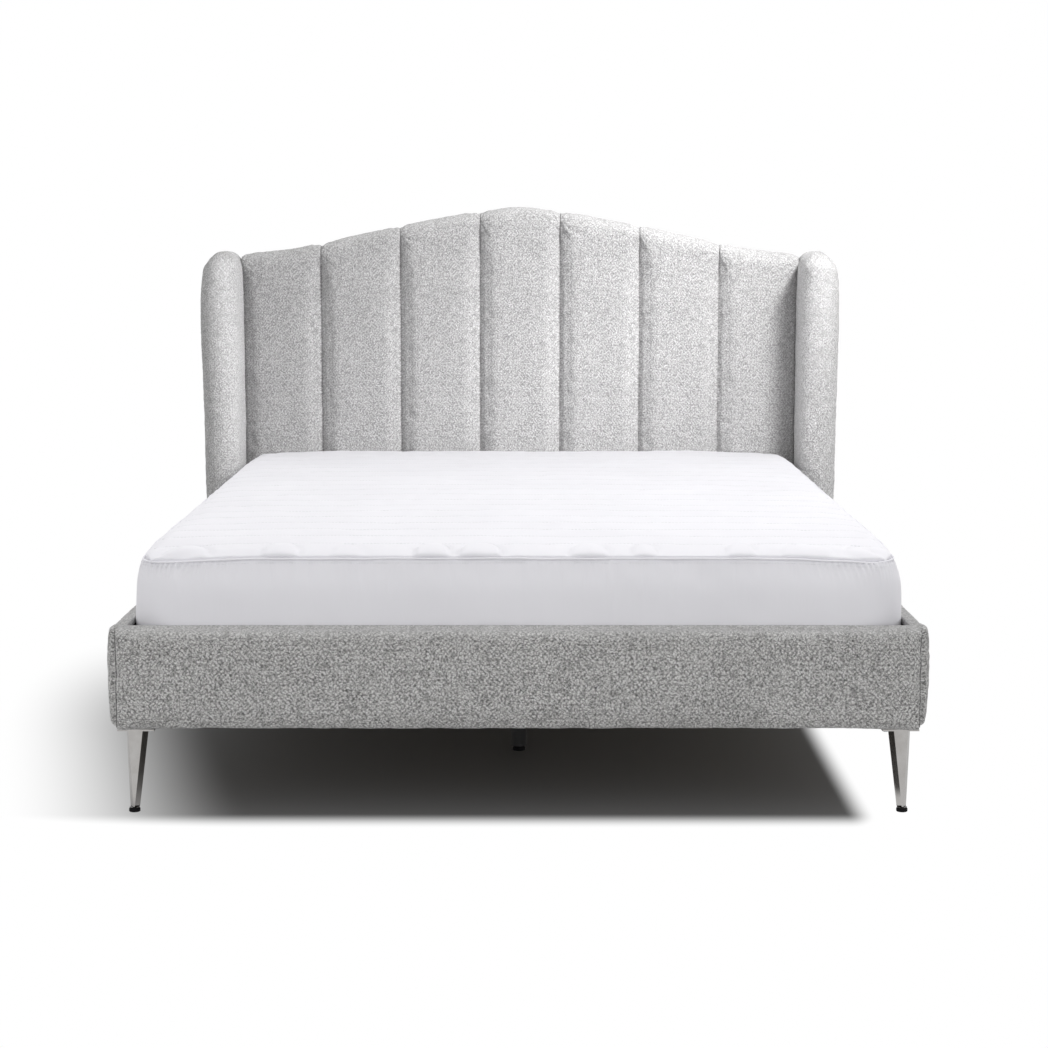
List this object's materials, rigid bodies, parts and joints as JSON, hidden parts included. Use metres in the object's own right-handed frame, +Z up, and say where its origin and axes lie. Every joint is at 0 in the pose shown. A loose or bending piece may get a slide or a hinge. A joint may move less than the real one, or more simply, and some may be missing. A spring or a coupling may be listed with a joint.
{
  "type": "upholstered bed",
  "caption": "Upholstered bed: channelled camel-back headboard with padded wings, padded rails on tapered metal legs, sprung slats and a mattress in a fitted protector.",
  "frame": {"origin": "middle of the bed's footprint, on the floor it stands on", "axes": "+Y from the foot to the headboard, +Z up, +X to the right seen from the foot"},
  "size_m": [1.784, 2.175, 1.204],
  "materials": {
    "boucle": "looped wool-look upholstery in light grey with pale and dark flecks",
    "cotton": "soft white brushed cover fabric",
    "ticking": "woven mattress ticking",
    "lining": "thin black non-woven lining",
    "nickel": "polished nickel plate",
    "black_paint": "satin black powder coat",
    "glide_plastic": "moulded black plastic",
    "holder_plastic": "moulded black plastic",
    "zinc_steel": "zinc plate",
    "pine": "planed softwood",
    "birch": "laminated sprung birch"
  },
  "bodies": {
    "base": {"foot_rail_board": "pine", "foot_rail_cover": "boucle", "left_side_board": "pine", "right_side_board": "pine", "left_side_cover": "boucle", "right_side_cover": "boucle", "head_rail": "pine", "front_left_corner_block": "pine", "front_right_corner_block": "pine", "rear_left_corner_block": "pine", "rear_right_corner_block": "pine", "corner_bolts": "zinc_steel", "left_ledger": "pine", "right_ledger": "pine", "ledger_screws": "zinc_steel", "centre_beam": "pine", "centre_beam_brackets": "zinc_steel", "left_slats": "birch", "right_slats": "birch", "left_slat_holders": "holder_plastic", "right_slat_holders": "holder_plastic", "centre_slat_holders": "holder_plastic", "front_left_leg": "nickel", "front_right_leg": "nickel", "rear_left_leg": "nickel", "rear_right_leg": "nickel", "leg_screws": "zinc_steel", "front_left_glide": "glide_plastic", "front_right_glide": "glide_plastic", "rear_left_glide": "glide_plastic", "rear_right_glide": "glide_plastic", "front_centre_leg": "black_paint", "rear_centre_leg": "black_paint", "centre_leg_screws": "zinc_steel", "headboard_board": "pine", "headboard_back_panel": "lining", "headboard_bolts": "zinc_steel", "headboard_channel_1": "boucle", "headboard_channel_2": "boucle", "headboard_channel_3": "boucle", "headboard_channel_4": "boucle", "headboard_channel_5": "boucle", "headboard_channel_6": "boucle", "headboard_channel_7": "boucle", "left_wing_core": "pine", "right_wing_core": "pine", "left_wing_cover": "boucle", "right_wing_cover": "boucle", "wing_brackets": "zinc_steel", "wing_bracket_screws": "zinc_steel"},
    "front_levelling_foot": {"front_levelling_foot": "glide_plastic"},
    "rear_levelling_foot": {"rear_levelling_foot": "glide_plastic"},
    "bedding": {"mattress_core": "ticking", "protector_skirt": "cotton", "protector_top": "cotton", "protector_piping": "cotton"}
  },
  "joints": [
    {"name": "mattress_lift", "type": "slide", "parent": "base", "child": "bedding", "axis": [0, 0, 1], "range_m": [0, 0.45]},
    {"name": "front_foot_screw", "type": "slide", "parent": "base", "child": "front_levelling_foot", "axis": [0, 0, -1], "range_m": [0, 0.012]},
    {"name": "rear_foot_screw", "type": "slide", "parent": "base", "child": "rear_levelling_foot", "axis": [0, 0, -1], "range_m": [0, 0.012]}
  ]
}
